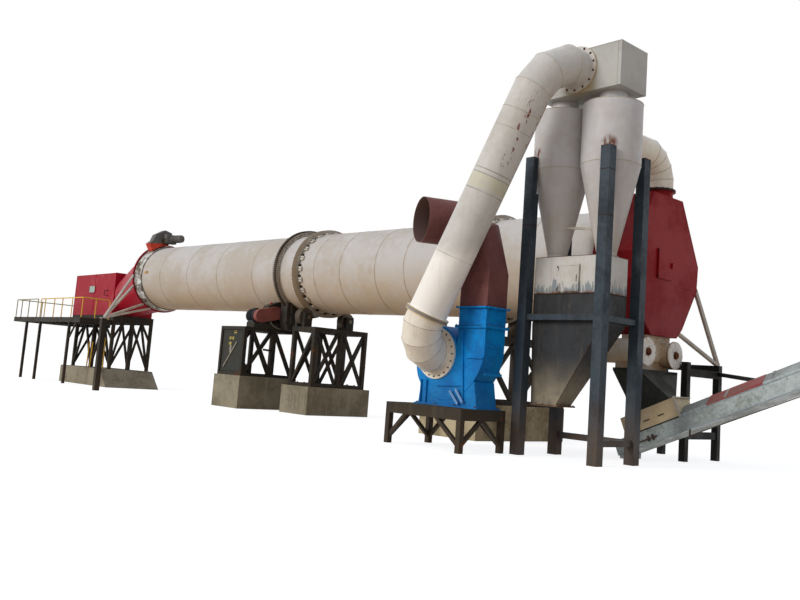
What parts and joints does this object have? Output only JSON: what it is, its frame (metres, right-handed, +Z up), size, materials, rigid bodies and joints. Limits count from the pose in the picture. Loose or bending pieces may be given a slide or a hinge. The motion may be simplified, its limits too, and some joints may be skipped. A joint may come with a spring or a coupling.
{
  "type": "rotary drum dryer",
  "caption": "Inclined rotary drum dryer with feed box, riding rings and girth drive, cyclone tower with suction fan, discharge hood and belt conveyor.",
  "frame": {"origin": "on the floor, straight below the drum axis at the first riding ring, at the foot of the roller pier", "axes": "+X along the plant towards the discharge end, -Y towards the drive and fan side, +Z up"},
  "size_m": [38.3022, 6.9462, 7.8628],
  "materials": {
    "concrete": "rough cast concrete, dusty",
    "dark_steel": "black-brown paint, dull, some rust",
    "column_paint": "dark blue-grey paint with rust runs",
    "red_paint": "crimson paint, satin",
    "orange_paint": "orange-red paint, satin",
    "yellow_paint": "orange-yellow paint, satin",
    "drum_paint": "grey-beige paint, dusty",
    "cream_paint": "cream paint, satin, dusty",
    "light_grey_paint": "light grey paint, satin",
    "maroon_paint": "maroon paint, satin",
    "blue_paint": "bright blue paint, glossy",
    "hopper_paint": "dark grey paint, scuffed",
    "guard_paint": "red-brown paint, satin",
    "machine_grey": "grey machine paint, dusty",
    "galvanised": "galvanised, mottled",
    "seal_steel": "thin steel plates, tarnished",
    "cast_steel": "machined cast steel, oily and dusty",
    "tan_paint": "tan-cream paint, satin"
  },
  "bodies": {
    "plant": {"feed_foundation": "concrete", "feed_frame": "dark_steel", "feed_box": "red_paint", "feed_transition": "red_paint", "feed_flange": "red_paint", "feed_seal": "seal_steel", "strut_post": "dark_steel", "feed_struts": "cream_paint", "walkway": "dark_steel", "handrail": "yellow_paint", "feeder_hood": "machine_grey", "feeder_chute": "orange_paint", "feeder_motor": "machine_grey", "drive_foundation": "concrete", "drive_frame": "dark_steel", "drive_motor": "machine_grey", "belt_guard": "guard_paint", "pinion_housing": "dark_steel", "roller_foundation_1": "concrete", "roller_foundation_2": "concrete", "roller_frame_1": "dark_steel", "roller_frame_2": "dark_steel", "fan_frame": "dark_steel", "fan_housing": "blue_paint", "stack_riser": "maroon_paint", "stack_mouth": "maroon_paint", "fan_elbow": "cream_paint", "suction_duct": "cream_paint", "top_elbow": "cream_paint", "plenum": "light_grey_paint", "cyclone_1": "light_grey_paint", "cyclone_2": "light_grey_paint", "tower_frame": "column_paint", "dust_box": "light_grey_paint", "dust_hopper": "hopper_paint", "discharge_hood": "red_paint", "hood_elbow": "cream_paint", "screw_conveyors": "cream_paint", "discharge_hopper": "hopper_paint", "hood_frame": "dark_steel", "hood_struts": "cream_paint", "belt_conveyor": "galvanised", "belt_inlet": "tan_paint"},
    "drum": {"drum_shell_feed": "drum_paint", "drum_shell_middle": "drum_paint", "drum_shell_outlet": "drum_paint", "girth_gear": "cast_steel", "riding_rings": "cast_steel"},
    "pinion": {"pinion": "cast_steel"},
    "roller_1": {"roller_1": "cast_steel"},
    "roller_2": {"roller_2": "cast_steel"},
    "roller_3": {"roller_3": "cast_steel"},
    "roller_4": {"roller_4": "cast_steel"},
    "dust_box_door": {"dust_box_door": "light_grey_paint"},
    "hood_door": {"hood_door": "red_paint"}
  },
  "joints": [
    {"name": "drum_turn", "type": "hinge", "parent": "plant", "child": "drum", "pos_m": [0, 0, 4.209], "axis": [0.9998, 0, -0.0175], "continuous": true},
    {"name": "pinion_turn", "type": "hinge", "parent": "plant", "child": "pinion", "pos_m": [-1.00114, -0.64, 2.83435], "axis": [0.9998, 0, -0.0175], "continuous": true},
    {"name": "roller_1_turn", "type": "hinge", "parent": "plant", "child": "roller_1", "pos_m": [-0.02405, -0.7955, 2.83136], "axis": [0.9998, 0, -0.0175], "continuous": true},
    {"name": "roller_2_turn", "type": "hinge", "parent": "plant", "child": "roller_2", "pos_m": [-0.02405, 0.7955, 2.83136], "axis": [0.9998, 0, -0.0175], "continuous": true},
    {"name": "roller_3_turn", "type": "hinge", "parent": "plant", "child": "roller_3", "pos_m": [6.8749, -0.7955, 2.71094], "axis": [0.9998, 0, -0.0175], "continuous": true},
    {"name": "roller_4_turn", "type": "hinge", "parent": "plant", "child": "roller_4", "pos_m": [6.8749, 0.7955, 2.71094], "axis": [0.9998, 0, -0.0175], "continuous": true},
    {"name": "dust_box_door_swing", "type": "hinge", "parent": "plant", "child": "dust_box_door", "pos_m": [10.88, -2.99, 3.35], "axis": [0, 0, 1], "range_deg": [-110, 0]},
    {"name": "hood_door_swing", "type": "hinge", "parent": "plant", "child": "hood_door", "pos_m": [11.42, -0.35, 4], "axis": [0, 0, 1], "range_deg": [-110, 0]}
  ],
  "couplings": [
    {"joint": "pinion_turn", "follows": "drum_turn", "ratio": -7.5},
    {"joint": "roller_1_turn", "follows": "drum_turn", "ratio": -5.344},
    {"joint": "roller_2_turn", "follows": "drum_turn", "ratio": -5.344},
    {"joint": "roller_3_turn", "follows": "drum_turn", "ratio": -5.344},
    {"joint": "roller_4_turn", "follows": "drum_turn", "ratio": -5.344}
  ]
}
